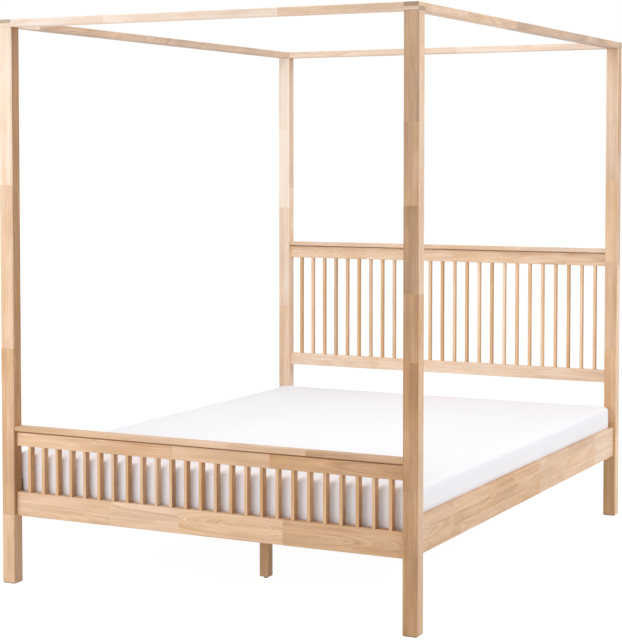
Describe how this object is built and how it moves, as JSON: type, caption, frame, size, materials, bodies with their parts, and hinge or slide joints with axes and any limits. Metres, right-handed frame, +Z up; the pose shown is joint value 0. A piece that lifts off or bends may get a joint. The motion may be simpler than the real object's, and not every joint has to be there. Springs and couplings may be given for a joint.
{
  "type": "wooden canopy bed",
  "caption": "Wooden post bed with an open canopy frame, slatted headboard and footboard, hook-on side rails, a slatted base on a centre beam and a lift-off mattress.",
  "frame": {"origin": "on the floor under the middle of the bed", "axes": "+Z up, +Y towards the head end, +X to the right for someone who stands at the foot and looks at the head"},
  "size_m": [1.59, 2.14, 1.98],
  "materials": {
    "frame_wood": "pale hardwood, finger-jointed and edge-glued, clear satin oil",
    "base_wood": "planed softwood, unfinished",
    "steel_fittings": "zinc-plated steel",
    "glide_plastic": "matt black plastic",
    "mattress_fabric": "plain white knitted cover"
  },
  "bodies": {
    "frame": {"post_front_left": "frame_wood", "post_front_right": "frame_wood", "post_back_left": "frame_wood", "post_back_right": "frame_wood", "canopy_rail_left": "frame_wood", "canopy_rail_right": "frame_wood", "canopy_rail_front": "frame_wood", "canopy_rail_back": "frame_wood", "footboard_cap": "frame_wood", "footboard_top_rail": "frame_wood", "footboard_slatted_rail": "frame_wood", "headboard_cap": "frame_wood", "headboard_top_rail": "frame_wood", "headboard_slatted_rail": "frame_wood", "head_cross_rail": "frame_wood", "side_rail_left": "frame_wood", "side_rail_right": "frame_wood", "centre_leg_front": "frame_wood", "centre_leg_back": "frame_wood", "slat_ledger_left": "base_wood", "slat_ledger_right": "base_wood", "centre_beam": "base_wood", "base_slat_01": "base_wood", "base_slat_02": "base_wood", "base_slat_03": "base_wood", "base_slat_04": "base_wood", "base_slat_05": "base_wood", "base_slat_06": "base_wood", "base_slat_07": "base_wood", "base_slat_08": "base_wood", "base_slat_09": "base_wood", "base_slat_10": "base_wood", "base_slat_11": "base_wood", "base_slat_12": "base_wood", "base_slat_13": "base_wood", "base_slat_14": "base_wood", "canopy_bolt_front_left": "steel_fittings", "canopy_bolt_front_right": "steel_fittings", "canopy_bolt_back_left": "steel_fittings", "canopy_bolt_back_right": "steel_fittings", "hook_plate_front_left": "steel_fittings", "hook_plate_front_right": "steel_fittings", "hook_plate_back_left": "steel_fittings", "hook_plate_back_right": "steel_fittings", "keeper_plate_front_left": "steel_fittings", "keeper_plate_front_right": "steel_fittings", "keeper_plate_back_left": "steel_fittings", "keeper_plate_back_right": "steel_fittings", "beam_hanger_front": "steel_fittings", "beam_hanger_back": "steel_fittings", "leg_plate_front": "steel_fittings", "leg_plate_back": "steel_fittings", "leg_stud_front": "steel_fittings", "leg_stud_back": "steel_fittings"},
    "mattress": {"mattress": "mattress_fabric"},
    "glide_front": {"levelling_glide_front": "glide_plastic"},
    "glide_back": {"levelling_glide_back": "glide_plastic"}
  },
  "joints": [
    {"name": "mattress_lift", "type": "slide", "parent": "frame", "child": "mattress", "axis": [0, 0, 1], "range_m": [0, 0.3]},
    {"name": "glide_front_level", "type": "slide", "parent": "frame", "child": "glide_front", "axis": [0, 0, -1], "range_m": [0, 0.012]},
    {"name": "glide_back_level", "type": "slide", "parent": "frame", "child": "glide_back", "axis": [0, 0, -1], "range_m": [0, 0.012]}
  ]
}
